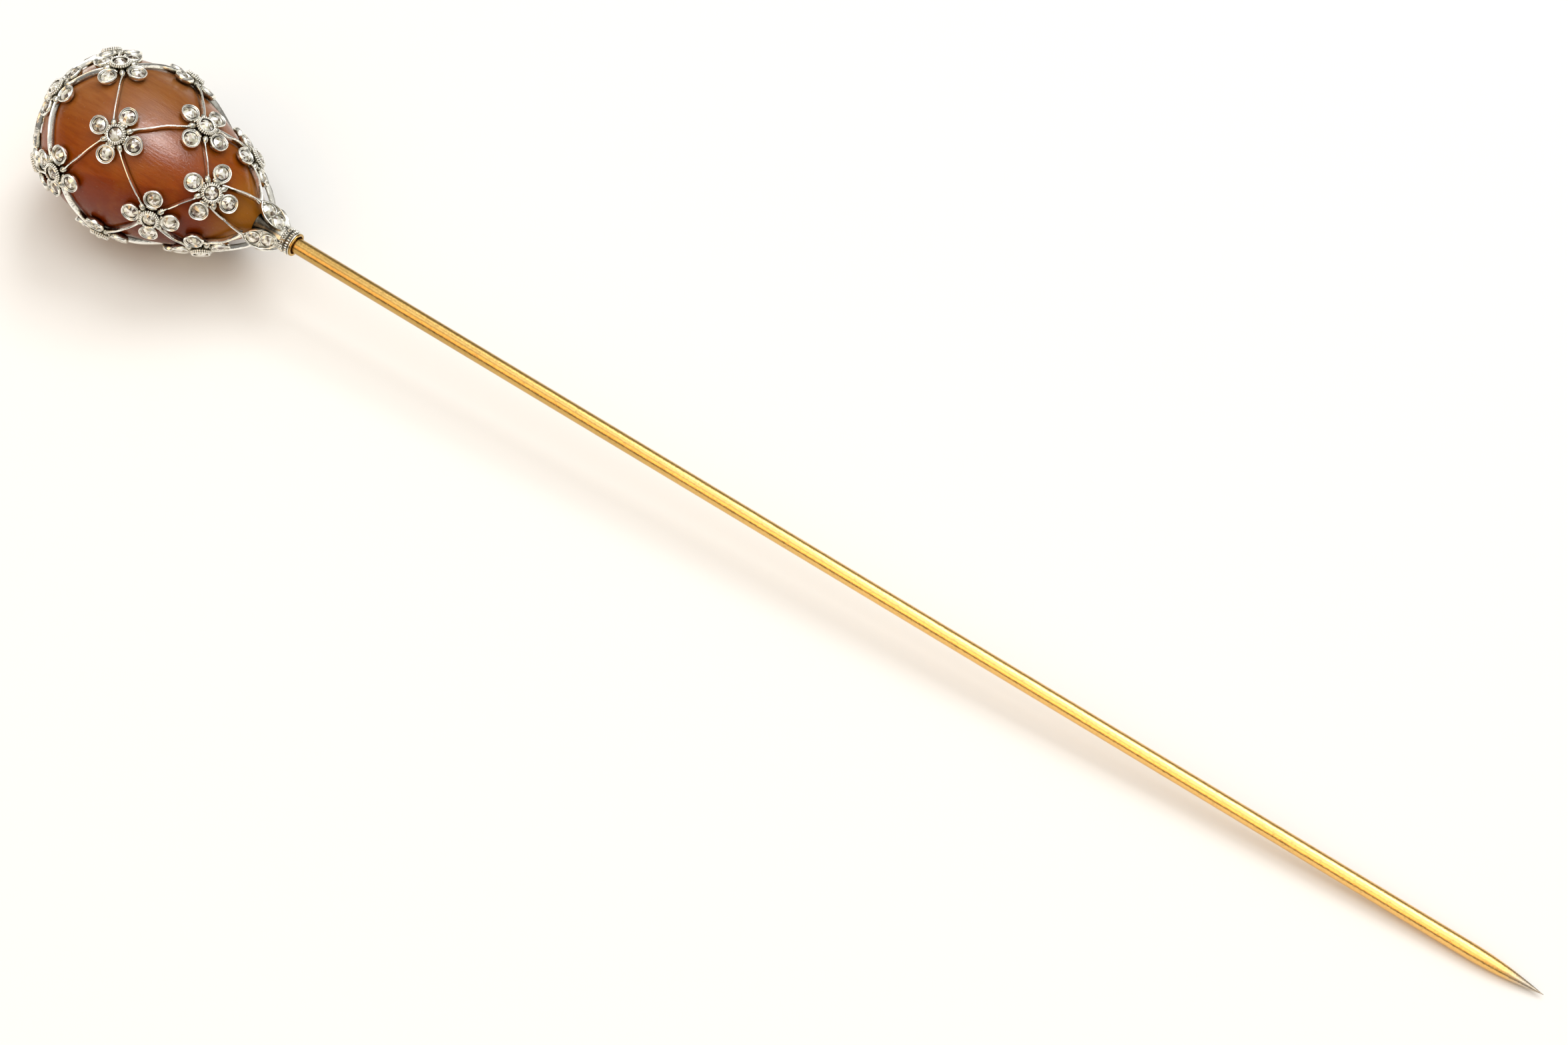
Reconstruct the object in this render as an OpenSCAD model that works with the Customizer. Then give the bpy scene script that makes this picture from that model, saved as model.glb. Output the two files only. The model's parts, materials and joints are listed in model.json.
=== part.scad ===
// Hat pin with a pear-shaped agate head in a cage of diamond flowers.
// The pin lies at rest: its point and two flowers touch z = 0, and +X runs from the head to the point.
// Each piece is drawn in the pin's own frame, with x = 0 at the ferrule's lip, and then laid down.

/* [Stem] */
// Diameter of the stem
stem_d = 1.6; // [1.2:0.1:2]
// Length of the stem from the ferrule's lip to the point
stem_len = 140.5; // [100:0.5:200]
// Length of the tapered point
point_len = 8; // [5:0.5:14]

/* [Stone] */
// Radius of the domed end, which is the widest part
dome_r = 8.3; // [7.5:0.1:9]
// Distance from the lip to the centre of the dome
dome_s = 21.1; // [20:0.1:22]
// Radius of the long curve from the dome to the narrow end
flank_r = 23; // [21:0.5:25]
// Distance from the lip to the flat at the narrow end
stone_start = 4.2; // [4.1:0.1:4.4]

/* [Flowers] */
// Distance from the lip to the first row of flowers, next to the leaves
row_a = 8.7; // [8.6:0.1:8.9]
// Distance from the lip to the second row
row_b = 12.7; // [12.6:0.1:13]
// Distance from the lip to the third row, round the widest part
row_c = 18.5; // [18.3:0.1:18.8]
// Distance from the lip to the fourth row
row_d = 23; // [22.9:0.1:23.2]
// Distance from the lip to the last row, next to the crown
row_e = 27; // [26.9:0.1:27.1]
// Distance of a petal's centre from the flower's centre
petal_ring = 1.96; // [1.94:0.01:1.99]
// Radius of a petal's setting
petal_r = 1.06; // [0.98:0.01:1.06]
// Height of a petal's rim over the stone
petal_h = 0.85; // [0.7:0.05:0.95]
// Radius of the raised setting at the centre
heart_r = 1.1; // [1.05:0.01:1.12]
// Thickness of the beaded wall round the centre's diamond
heart_rim = 0.38; // [0.3:0.02:0.5]
// Height of the centre's rim over the stone
heart_h = 1.2; // [1:0.05:1.3]
// Thickness of a petal's wall at the rim
rim_t = 0.16; // [0.12:0.02:0.2]

/* [Wires] */
// Thickness of the knife-edge wires
wire_t = 0.28; // [0.2:0.02:0.3]
// Height of a wire's lower edge over the stone
wire_low = 0.15; // [0.1:0.05:0.3]
// Height of a wire's outer edge over the stone
wire_high = 0.7; // [0.6:0.05:0.8]

/* [Neck] */
// Radius of the ferrule's lip
lip_r = 1.2; // [1.15:0.05:1.3]
// Radius of the ferrule's sleeve
sleeve_r = 1.1; // [1.05:0.05:1.15]
// Radius of the dark gap around the stem at the lip
mouth_r = 0.96; // [0.9:0.02:1]
// Largest radius of the collar
collar_r = 1.34; // [1.3:0.02:1.44]
// Distance from the lip to the collar's far end
collar_end = 1.35; // [1.2:0.05:1.4]
// Radius of the stone cup's rim
cup_r = 1.4; // [1.35:0.05:1.5]
// Length of a leaf
leaf_len = 3.8; // [3.7:0.05:3.9]
// Width of a leaf
leaf_w = 2.3; // [2.2:0.02:2.34]
// Depth of a leaf
leaf_depth = 0.9; // [0.7:0.05:1]

/* [Hidden] */

$fn = 48;

// The point is an ogive whose side is an arc of this radius.
stem_r = stem_d / 2;
ogive_r = (point_len * point_len + stem_r * stem_r) / stem_d;

// How the pin lies: it rests on its point and on two flowers, whose rims come rest_over below the stone
// at the distance rest_s from the lip.
rest_s = 21;
rest_over = 0.786;
lie_slope = atan((dome_r + rest_over - stem_r) / (stem_len - point_len + rest_s));
lie_roll = 27.46;
lie_x = (dome_s + dome_r + heart_h - stem_len) / 2 * cos(lie_slope);
lie_z = ogive_r + (stem_len - point_len) * sin(lie_slope) - (ogive_r - stem_r) * cos(lie_slope);

row_s = [row_a, row_b, row_c, row_d, row_e];
row_count = 4;

// The last row was set askew by hand: how far each of its flowers is off its even place round the pin and
// along it, and how far each is spun about itself so that its petals keep clear of the wires.
last_row = 4;
last_turn = [9, -14, 4, 13];
last_shift = [0, -0.8, 0, 0];
last_spin = [-8, 12, -2, -12];

step_angle = 360 / row_count;
fit_gap = 0.02;
corner_d = 1.15;
root_r = 0.6;
root_start = 0.1;
stem_seat = 3.2;
sleeve_end = 3.4;
lip_t = 0.15;
mouth_depth = 1.2;
cup_end = 4.55;
seat_depth = 0.4;
gem_girdle = 0.12;
gem_rise = 0.36;
leaf_tilt = -27.9;
leaf_s = 3.01;
leaf_face_r = 1.975;
leaf_tip_s = 5.25;
leaf_tip_r = 2.35;
leaf_tip_spread = 6;
leaf_gem = 0.7;
leaf_gem_x = 0.75;
steel = "silver";
gold = "goldenrod";
gem = "ivory";

// Radius of the stone at distance s from the lip.
function stone_r(s) = s > dome_s
    ? sqrt(dome_r * dome_r - pow(s - dome_s, 2))
    : dome_r - flank_r + sqrt(flank_r * flank_r - pow(dome_s - s, 2));

// Angle of the stone's outward normal at s, positive towards the crown.
function stone_tilt(s) = asin((s - dome_s) / (s > dome_s ? dome_r : flank_r));

// Radii of curvature of the stone at s, along the pin and around it.
function bend_along(s) = s > dome_s ? dome_r : flank_r;
function bend_around(s) = stone_r(s) / cos(stone_tilt(s));

// An anchor is a foot on the stone or a leaf: [distance from the lip, radius, tilt of its normal].
function stone_anchor(s) = [s, stone_r(s), stone_tilt(s)];
function dome_anchor(angle) = [dome_s + dome_r * cos(angle), dome_r * sin(angle), 90 - angle];
function place(a, turn) = [-a[0], a[1] * sin(turn), a[1] * cos(turn)];
function normal(a, turn) = [-sin(a[2]), cos(a[2]) * sin(turn), cos(a[2]) * cos(turn)];
function unit(v) = v / norm(v);

// The distance of flower k of a row from the lip.
function flower_s(row, k) = row_s[row] + (row == last_row ? last_shift[(k + row_count) % row_count] : 0);

// Rows stand turned by half a step against their neighbours.
function row_turn(row, k) = (k + (row % 2) / 2) * step_angle
    + (row == last_row ? last_turn[(k + row_count) % row_count] : 0);

// A flower's spin about itself.
function row_spin(row, k) = row == last_row ? last_spin[(k + row_count) % row_count] : 0;

// A wire meets a flower in the corner between two petals. Gives the corner's anchor and its turn round the
// pin, for along = 1 towards the crown or -1 towards the lip, and across = 1 or -1 round the pin.
function corner(row, k, along, across) =
    let (
        spin = row_spin(row, k),
        x = -along * cos(spin) - across * sin(spin),
        y = -along * sin(spin) + across * cos(spin),
        s = flower_s(row, k) - x * corner_d * cos(stone_tilt(flower_s(row, k)))
    )
    [stone_anchor(s), row_turn(row, k) + y * corner_d / stone_r(s) * 180 / PI];

// Lays the pin down on the floor.
module laid() {
    translate([lie_x, 0, lie_z])
        rotate([0, lie_slope, 0])
            rotate([lie_roll, 0, 0])
                children();
}

// Turns a profile about the pin's axis: the profile's y is the distance from the lip.
module turned() {
    rotate([0, -90, 0])
        rotate_extrude($fn = 96)
            children();
}

// Puts an upright piece on the stone or a leaf.
module standing(a, turn) {
    rotate([-turn, 0, 0])
        translate([-a[0], 0, a[1]])
            rotate([0, -a[2], 0])
                children();
}

// Repeats a piece around a flower as its four petals, each following the stone's curve.
module petals(s) {
    for (k = [0 : 3]) {
        bend = k % 2 == 0 ? bend_along(s) : bend_around(s);
        rotate([0, 0, k * 90])
            translate([0, 0, -bend])
                rotate([0, petal_ring / bend * 180 / PI, 0])
                    translate([0, 0, bend])
                        children();
    }
}

module cup(r, h, wall) {
    difference() {
        union() {
            translate([0, 0, fit_gap])
                cylinder(h = h * 0.55, r1 = r * 0.68, r2 = r);
            translate([0, 0, fit_gap + h * 0.55])
                cylinder(h = h * 0.45 - fit_gap, r = r);
        }
        translate([0, 0, h - seat_depth])
            cylinder(h = seat_depth + 1, r = r - wall);
    }
}

// A rose-cut stone in a seat of radius r: a flat base, a short girdle and a low dome.
module rose_gem(r, top) {
    dome = (r * r + gem_rise * gem_rise) / (2 * gem_rise);
    translate([0, 0, top - seat_depth])
        cylinder(h = gem_girdle, r = r - fit_gap);
    translate([0, 0, top - seat_depth + gem_girdle])
        intersection() {
            translate([0, 0, gem_rise - dome])
                sphere(r = dome);
            cylinder(h = 1, r = r - fit_gap);
        }
}

module flower(s) {
    cup(heart_r, heart_h, heart_rim);
    petals(s)
        cup(petal_r, petal_h, rim_t);
    for (k = [0 : 3])
        rotate([0, 0, k * 90])
            translate([heart_r * 0.5, -rim_t, rim_t])
                cube([petal_ring - heart_r, rim_t * 2, rim_t * 2]);
}

module flower_gems(s) {
    rose_gem(heart_r - heart_rim, heart_h);
    petals(s)
        rose_gem(petal_r - rim_t, petal_h);
}

// A blade that bends from one anchor to the next. An end is an anchor and its turn round the pin.
module wire(end_a, end_b) {
    normal_a = normal(end_a[0], end_a[1]);
    normal_b = normal(end_b[0], end_b[1]);
    chord = place(end_b[0], end_b[1]) - place(end_a[0], end_a[1]);
    dir = unit(chord);
    lean = normal_a + normal_b;
    up = unit(lean - dir * (lean * dir));
    side = cross(up, dir);
    half = acos(normal_a * normal_b) / 2;
    bend = norm(chord) / 2 / sin(half);
    mid = (place(end_a[0], end_a[1]) + place(end_b[0], end_b[1])) / 2 - up * bend * cos(half);
    multmatrix([
        [dir[0], up[0], -side[0], mid[0]],
        [dir[1], up[1], -side[1], mid[1]],
        [dir[2], up[2], -side[2], mid[2]],
        [0, 0, 0, 1]
    ])
        blade(bend, -half, half);
}

// A flat blade on an arc of radius bend, between two angles from the y axis.
module blade(bend, from, to) {
    reach = (bend + wire_high) * 2;
    translate([0, 0, -wire_t / 2])
        linear_extrude(height = wire_t)
            intersection() {
                difference() {
                    circle(r = bend + wire_high, $fn = 96);
                    circle(r = bend + wire_low, $fn = 96);
                }
                polygon([
                    [0, 0],
                    reach * [sin(from), cos(from)],
                    reach * [sin(to), cos(to)]
                ]);
            }
}

module leaf_place(k) {
    standing([leaf_s, leaf_face_r, leaf_tilt], row_turn(1, k))
        children();
}

module leaf_gem_places() {
    for (x = [-leaf_gem_x, leaf_gem_x])
        translate([x, 0, 0])
            children();
}

module leaf_outline() {
    arc_r = (leaf_len * leaf_len + leaf_w * leaf_w) / (4 * leaf_w);
    intersection_for (side = [-1, 1])
        translate([0, side * (arc_r - leaf_w / 2)])
            circle(r = arc_r, $fn = 96);
}

module leaf_setting(k) {
    color(steel)
        laid()
            difference() {
                leaf_place(k)
                    difference() {
                        translate([0, 0, -leaf_depth])
                            linear_extrude(height = leaf_depth)
                                leaf_outline();
                        leaf_gem_places()
                            translate([0, 0, -seat_depth])
                                cylinder(h = 1, r = leaf_gem);
                    }
                turned() {
                    square([collar_r + 1, collar_end + fit_gap]);
                    cup_outline(fit_gap);
                }
                stone_solid();
            }
}

module leaf_diamonds() {
    color(gem)
        laid()
            for (k = [0 : row_count - 1])
                leaf_place(k)
                    leaf_gem_places()
                        rose_gem(leaf_gem, 0);
}

module stone_solid() {
    turned()
        intersection() {
            union() {
                translate([0, dome_s])
                    circle(r = dome_r, $fn = 180);
                intersection() {
                    translate([dome_r - flank_r, dome_s])
                        circle(r = flank_r, $fn = 360);
                    translate([0, stone_start])
                        square([dome_r * 2, dome_s - stone_start]);
                }
            }
            translate([0, stone_start])
                square([dome_r * 2, dome_s + dome_r]);
        }
}

module carnelian_drop() {
    color("sienna")
        laid()
            stone_solid();
}

// Outline of the stem's tapered root, which starts just outside the lip and is held in the ferrule.
module root_outline(gap) {
    polygon([
        [0, -root_start],
        [stem_r + gap, -root_start],
        [root_r + gap, stem_seat + gap],
        [0, stem_seat + gap]
    ]);
}

module pin_stem() {
    color(gold)
        laid()
            turned() {
                root_outline(0);
                translate([0, point_len - stem_len])
                    square([stem_r, stem_len - point_len - root_start]);
                intersection() {
                    translate([stem_r - ogive_r, point_len - stem_len])
                        circle(r = ogive_r, $fn = 360);
                    translate([0, -stem_len])
                        square([stem_r, point_len]);
                }
            }
}

// The gold sleeve that holds the stem, with a lip at its mouth.
module ferrule() {
    color(gold)
        laid()
            turned()
                difference() {
                    union() {
                        square([lip_r, lip_t]);
                        square([sleeve_r, sleeve_end]);
                    }
                    square([mouth_r, mouth_depth]);
                    root_outline(fit_gap);
                }
}

// Outline of the cup that carries the stone, which widens from the collar to its rim.
module cup_outline(gap) {
    polygon([
        [0, collar_end + fit_gap],
        [sleeve_r + rim_t + gap, collar_end + fit_gap],
        [sleeve_r + rim_t + gap, sleeve_end - 0.4],
        [cup_r + gap, cup_end],
        [0, cup_end]
    ]);
}

module stone_cup() {
    color(steel)
        laid()
            difference() {
                turned()
                    difference() {
                        cup_outline(0);
                        square([sleeve_r + fit_gap, sleeve_end + fit_gap]);
                    }
                stone_solid();
            }
}

module collar() {
    slots = 24;
    slot_w = 0.16;
    slot_depth = 0.12;
    band_start = 0.4;
    band_end = 0.8;
    groove = 0.12;
    color(steel)
        laid()
            difference() {
                turned()
                    difference() {
                        translate([sleeve_r + fit_gap, lip_t])
                            square([collar_r - sleeve_r - fit_gap, collar_end - lip_t]);
                        translate([collar_r - groove, band_start - groove])
                            square([1, groove]);
                        translate([collar_r - groove, band_end])
                            square([1, groove]);
                    }
                for (k = [0 : slots - 1])
                    rotate([k * 360 / slots, 0, 0])
                        translate([-band_end, -slot_w / 2, collar_r - slot_depth])
                            cube([band_end - band_start, slot_w, 1]);
            }
}

// A flower's place in its row.
module at_row(row, k) {
    standing(stone_anchor(flower_s(row, k)), row_turn(row, k))
        rotate([0, 0, row_spin(row, k)])
            children();
}

module row_flower(row, k) {
    color(steel)
        laid()
            at_row(row, k)
                flower(flower_s(row, k));
}

module row_diamonds(row) {
    color(gem)
        laid()
            for (k = [0 : row_count - 1])
                at_row(row, k)
                    flower_gems(flower_s(row, k));
}

module at_crown() {
    translate([-dome_s - dome_r, 0, 0])
        rotate([0, -90, 0])
            children();
}

module crown_flower() {
    color(steel)
        laid()
            at_crown()
                flower(dome_s + fit_gap);
}

module crown_diamonds() {
    color(gem)
        laid()
            at_crown()
                flower_gems(dome_s + fit_gap);
}

// Two wires run from each flower of the first row to the tips of the leaves beside it.
module wires_leaf_a() {
    tip = [leaf_tip_s, leaf_tip_r, leaf_tilt];
    color(steel)
        laid()
            for (k = [0 : row_count - 1])
                for (across = [-1, 1]) {
                    turn = row_turn(1, k + (across - 1) / 2) - across * leaf_tip_spread;
                    wire(corner(0, k, -1, across), [tip, turn]);
                }
}

// Two wires run from each flower of a row to its neighbours in the next row.
module wires_between(row) {
    color(steel)
        laid()
            for (k = [0 : row_count - 1])
                for (across = [-1, 1]) {
                    next = k + (across + 1) / 2 - (row + 1) % 2;
                    wire(corner(row, k, 1, across), corner(row + 1, next, -1, -across));
                }
}

// Four wires join the last row in a ring, and four short ones run from the crown flower to the middles of
// the ring's wires.
module wires_crown() {
    ring_gap = (wire_t / 2 + fit_gap * 3) / dome_r * 180 / PI;
    crown_end = corner_d * sqrt(2) / dome_r * 180 / PI;
    color(steel)
        laid()
            for (k = [0 : row_count - 1]) {
                end_a = corner(last_row, k, 1, 1);
                end_b = corner(last_row, k + 1, 1, -1);
                middle = unit(normal(end_a[0], end_a[1]) + normal(end_b[0], end_b[1]));
                wire(end_a, end_b);
                wire([dome_anchor(crown_end), (k + 0.5) * step_angle],
                    [dome_anchor(acos(-middle[0]) - ring_gap), atan2(middle[1], middle[2])]);
            }
}

carnelian_drop();
pin_stem();
ferrule();
collar();
stone_cup();
for (k = [0 : row_count - 1]) {
    leaf_setting(k);
}
leaf_diamonds();
for (row = [0 : 4]) {
    for (k = [0 : row_count - 1]) {
        row_flower(row, k);
    }
    row_diamonds(row);
}
crown_flower();
crown_diamonds();
wires_leaf_a();
wires_between(0);  // wires_a_b
wires_between(1);  // wires_b_c
wires_between(2);  // wires_c_d
wires_between(3);  // wires_d_e
wires_crown();
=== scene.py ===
"""A hat pin with a pear-shaped agate head in a cage of diamond flowers.

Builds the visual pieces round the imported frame, and the studio that they are seen in. Pieces are made in
the pin's own frame, in millimetres: x runs from the crown to the point, and 0 is the ferrule's lip.
"""

import json
import math
import random

import bpy
from mathutils import Matrix, Vector, noise


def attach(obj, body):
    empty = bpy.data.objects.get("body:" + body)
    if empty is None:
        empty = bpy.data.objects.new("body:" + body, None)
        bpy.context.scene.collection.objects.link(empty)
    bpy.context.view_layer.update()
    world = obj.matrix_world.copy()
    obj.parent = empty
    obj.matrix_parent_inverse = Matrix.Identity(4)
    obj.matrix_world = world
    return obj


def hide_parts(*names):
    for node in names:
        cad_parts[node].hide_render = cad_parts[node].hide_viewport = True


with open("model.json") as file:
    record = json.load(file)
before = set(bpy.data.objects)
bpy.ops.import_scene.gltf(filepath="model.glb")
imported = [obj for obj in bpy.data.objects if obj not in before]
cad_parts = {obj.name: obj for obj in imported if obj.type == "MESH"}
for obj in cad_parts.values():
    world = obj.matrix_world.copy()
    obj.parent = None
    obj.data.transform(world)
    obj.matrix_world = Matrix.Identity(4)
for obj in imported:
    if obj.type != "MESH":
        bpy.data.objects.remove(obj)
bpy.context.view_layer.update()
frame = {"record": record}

MM = 0.001

# The seed of the noise that roughens the metal. Without one, Blender seeds it from the clock.
NOISE_SEED = 1
noise.seed_set(NOISE_SEED)

# The stem. All sizes of the part are in millimetres.
STEM = frame["record"]["mounts"][0]
STEM_R = STEM["dims"]["r_mm"]
STRAIGHT = STEM["dims"]["length_mm"]
POINT_LEN = 8.0
ROOT_START = 0.1
ROOT_END = 3.2
ROOT_R = 0.6

# The stone. S is a distance from the ferrule's lip towards the crown.
DOME_R = 8.3
DOME_S = 21.1
FLANK_R = 23.0
STONE_START = 4.2

# The flowers: four to a row. A wire meets one at CORNER along and across from its middle.
ROW_S = [8.7, 12.7, 18.5, 23.0, 27.0]
ROW_COUNT = 4
STEP_ANGLE = 360 / ROW_COUNT
PETAL_COUNT = 4
PETAL_RING = 1.96
CORNER = 1.15

# The last row was set askew by hand: how far each flower is off its even place round the pin and
# along it, and its spin about itself.
LAST_ROW = 4
LAST_TURN = [9, -14, 4, 13]
LAST_SHIFT = [0, -0.8, 0, 0]
LAST_SPIN = [-8, 12, -2, -12]

# The neck.
LIP_R = 1.2
LIP_T = 0.15
SLEEVE_R = 1.1
MOUTH_R = 0.96
COLLAR_R = 1.34
COLLAR_END = 1.35

# The leaves. An anchor is (distance from the lip, radius, tilt of the normal in degrees).
LEAF_TILT = -27.9
LEAF_ANCHOR = (3.01, 1.975, LEAF_TILT)
LEAF_TIP = (5.1, 2.4, LEAF_TILT)
LEAF_LEN = 3.8
LEAF_W = 2.3
LEAF_DEPTH = 0.9

# How the pin lies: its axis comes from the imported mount, and it is rolled about that axis.
LIE_ROLL = 27.46
AXIS = Vector(STEM["axis"]).normalized()
LIP = Vector(STEM["pos_m"]) - AXIS * (STRAIGHT / 2 + ROOT_START) * MM
SLOPE = math.atan2(-AXIS.z, AXIS.x)
LAID = (Matrix.Translation(LIP) @ Matrix.Rotation(SLOPE, 4, "Y")
        @ Matrix.Rotation(math.radians(LIE_ROLL), 4, "X"))


# ---------------------------------------------------------------- places on the stone

def stone_r(s):
    """Radius of the stone at distance s from the lip."""
    if s > DOME_S:
        return math.sqrt(DOME_R ** 2 - (s - DOME_S) ** 2)
    return DOME_R - FLANK_R + math.sqrt(FLANK_R ** 2 - (DOME_S - s) ** 2)


def stone_tilt(s):
    """Angle of the stone's outward normal at s, in degrees, positive towards the crown."""
    return math.degrees(math.asin((s - DOME_S) / (DOME_R if s > DOME_S else FLANK_R)))


def stone_anchor(s):
    """Anchor on the stone: distance from the lip, radius, and tilt of the normal."""
    return s, stone_r(s), stone_tilt(s)


def dome_anchor(angle):
    """Anchor on the dome at an angle in degrees from the crown."""
    a = math.radians(angle)
    return DOME_S + DOME_R * math.cos(a), DOME_R * math.sin(a), 90 - angle


def flower_s(row, k):
    """Distance of flower k of a row from the lip."""
    return ROW_S[row] + (LAST_SHIFT[k % ROW_COUNT] if row == LAST_ROW else 0)


def row_turn(row, k):
    """Angle of flower k of a row about the pin. Rows stand half a step apart."""
    return (k + (row % 2) / 2) * STEP_ANGLE + (LAST_TURN[k % ROW_COUNT] if row == LAST_ROW else 0)


def row_spin(row, k):
    """Turn of flower k of a row about itself."""
    return LAST_SPIN[k % ROW_COUNT] if row == LAST_ROW else 0


def standing(anchor, turn):
    """Matrix that puts an upright piece on an anchor at an angle about the pin."""
    s, r, tilt = anchor
    return (Matrix.Rotation(math.radians(-turn), 4, "X") @ Matrix.Translation((-s, 0, r))
            @ Matrix.Rotation(math.radians(-tilt), 4, "Y"))


def at_row(row, k):
    """Matrix of flower k of a row."""
    return (standing(stone_anchor(flower_s(row, k)), row_turn(row, k))
            @ Matrix.Rotation(math.radians(row_spin(row, k)), 4, "Z"))


def at_crown():
    """Matrix of the flower at the stone's far end."""
    return Matrix.Translation((-DOME_S - DOME_R, 0, 0)) @ Matrix.Rotation(math.radians(-90), 4, "Y")


def corner(row, k, along, across):
    """Where a wire meets a flower, in the corner between two petals: its anchor and turn round the pin.

    along is 1 towards the crown or -1 towards the lip, and across is 1 or -1 round the pin.
    """
    spin = math.radians(row_spin(row, k))
    x = -along * math.cos(spin) - across * math.sin(spin)
    y = -along * math.sin(spin) + across * math.cos(spin)
    middle = flower_s(row, k)
    s = middle - x * CORNER * math.cos(math.radians(stone_tilt(middle)))
    return stone_anchor(s), row_turn(row, k) + math.degrees(y * CORNER / stone_r(s))


def petal_places(s):
    """Matrices of a flower's four petals, which follow the stone's curve at s."""
    along = DOME_R if s > DOME_S else FLANK_R
    around = DOME_R if s > DOME_S + DOME_R else stone_r(s) / math.cos(math.radians(stone_tilt(s)))
    places = []
    for k in range(PETAL_COUNT):
        bend = along if k % 2 == 0 else around
        spun = Matrix.Rotation(math.radians(360 / PETAL_COUNT * k), 4, "Z")
        places.append(spun @ Matrix.Translation((0, 0, -bend))
                      @ Matrix.Rotation(PETAL_RING / bend, 4, "Y") @ Matrix.Translation((0, 0, bend)))
    return places


# ---------------------------------------------------------------- mesh building

class Shape:
    """Vertices and faces in the pin's own frame, in millimetres, with a tone for each vertex."""

    def __init__(self):
        self.points = []
        self.faces = []
        self.tones = []

    def add(self, part, place=Matrix.Identity(4)):
        points, faces, tones = part
        first = len(self.points)
        self.points += [place @ Vector(p) for p in points]
        self.faces += [[first + i for i in face] for face in faces]
        self.tones += tones

    def roughen(self, size, reach):
        """Moves each vertex a little, as on metal worked by hand."""
        for i, p in enumerate(self.points):
            self.points[i] = p + reach * noise.noise_vector(p / size)


def lathe(profile, segments, outline=None):
    """Turns (radius, height, tone) points about z. outline scales the radius at an angle."""
    points, faces, tones, rings = [], [], [], []
    for r, z, tone in profile:
        if r == 0:
            rings.append([len(points)] * segments)
            points.append((0, 0, z))
            tones.append(tone)
            continue
        rings.append(list(range(len(points), len(points) + segments)))
        for k in range(segments):
            turn = 2 * math.pi * k / segments
            reach = r * (outline(turn) if outline else 1)
            points.append((reach * math.cos(turn), reach * math.sin(turn), z))
            tones.append(tone)
    for low, high in zip(rings, rings[1:]):
        for k in range(segments):
            face = [low[k], low[(k + 1) % segments], high[(k + 1) % segments], high[k]]
            face = [v for i, v in enumerate(face) if v != face[i - 1]]
            if len(face) > 2:
                faces.append(face)
    return points, faces, tones


def bead(size, tone, segments=8, rings=5):
    """An ellipsoid with the given (x, y, z) half sizes."""
    profile = []
    for k in range(rings + 1):
        a = math.pi * k / rings
        profile.append((math.sin(a) if 0 < k < rings else 0, -math.cos(a), tone))
    points, faces, tones = lathe(profile, segments)
    return [(x * size[0], y * size[1], z * size[2]) for x, y, z in points], faces, tones


def ring_of(shape, part, place, count, radius, height):
    """Repeats a part on a ring about z, with its x axis pointing outwards."""
    for k in range(count):
        shape.add(part, place @ Matrix.Rotation(2 * math.pi * k / count, 4, "Z")
                  @ Matrix.Translation((radius, 0, height)))


def make_piece(name, shape, material, node, smooth=True, crease=40):
    """Turns a shape into an object that stands for a CAD node."""
    mesh = bpy.data.meshes.new(name)
    mesh.from_pydata([LAID @ (p * MM) for p in shape.points], [], shape.faces)
    tone = mesh.attributes.new("tone", "FLOAT", "POINT")
    tone.data.foreach_set("value", shape.tones)
    own_place = mesh.attributes.new("pin_mm", "FLOAT_VECTOR", "POINT")
    own_place.data.foreach_set("vector", [x for p in shape.points for x in p])
    mesh.validate()
    mesh.polygons.foreach_set("use_smooth", [smooth] * len(mesh.polygons))
    if smooth:
        mesh.set_sharp_from_angle(angle=math.radians(crease))
    mesh.materials.append(material)
    piece = bpy.data.objects.new(name, mesh)
    bpy.context.scene.collection.objects.link(piece)
    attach(piece, "root")
    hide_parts(node)


# ---------------------------------------------------------------- materials

def new_material(name):
    """A material, with the place of each point in the pin's own frame, in millimetres."""
    material = bpy.data.materials.new(name)
    material.use_nodes = True
    tree = material.node_tree
    where = tree.nodes.new("ShaderNodeAttribute")
    where.attribute_name = "pin_mm"
    return material, tree, tree.nodes["Principled BSDF"], where.outputs["Vector"]


def math_node(tree, operation, a, b):
    """Arithmetic on two sockets or numbers."""
    node = tree.nodes.new("ShaderNodeMath")
    node.operation = operation
    for socket, value in zip(node.inputs, (a, b)):
        if isinstance(value, (int, float)):
            socket.default_value = value
        else:
            tree.links.new(value, socket)
    return node.outputs["Value"]


def noise_node(tree, where, scale, detail=4, roughness=0.55, stretch=None):
    """Noise at a scale in features per millimetre, squeezed by stretch along each axis."""
    if stretch:
        mapping = tree.nodes.new("ShaderNodeMapping")
        mapping.inputs["Scale"].default_value = stretch
        tree.links.new(where, mapping.inputs["Vector"])
        where = mapping.outputs["Vector"]
    node = tree.nodes.new("ShaderNodeTexNoise")
    node.inputs["Scale"].default_value = scale
    node.inputs["Detail"].default_value = detail
    node.inputs["Roughness"].default_value = roughness
    tree.links.new(where, node.inputs["Vector"])
    return node.outputs["Fac"]


def ramp(tree, value, stops):
    """Colour ramp with (position, colour) stops."""
    node = tree.nodes.new("ShaderNodeValToRGB")
    elements = node.color_ramp.elements
    while len(elements) < len(stops):
        elements.new(0.5)
    for element, (position, colour) in zip(elements, stops):
        element.position = position
        element.color = (*colour, 1)
    tree.links.new(value, node.inputs["Fac"])
    return node.outputs["Color"]


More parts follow.
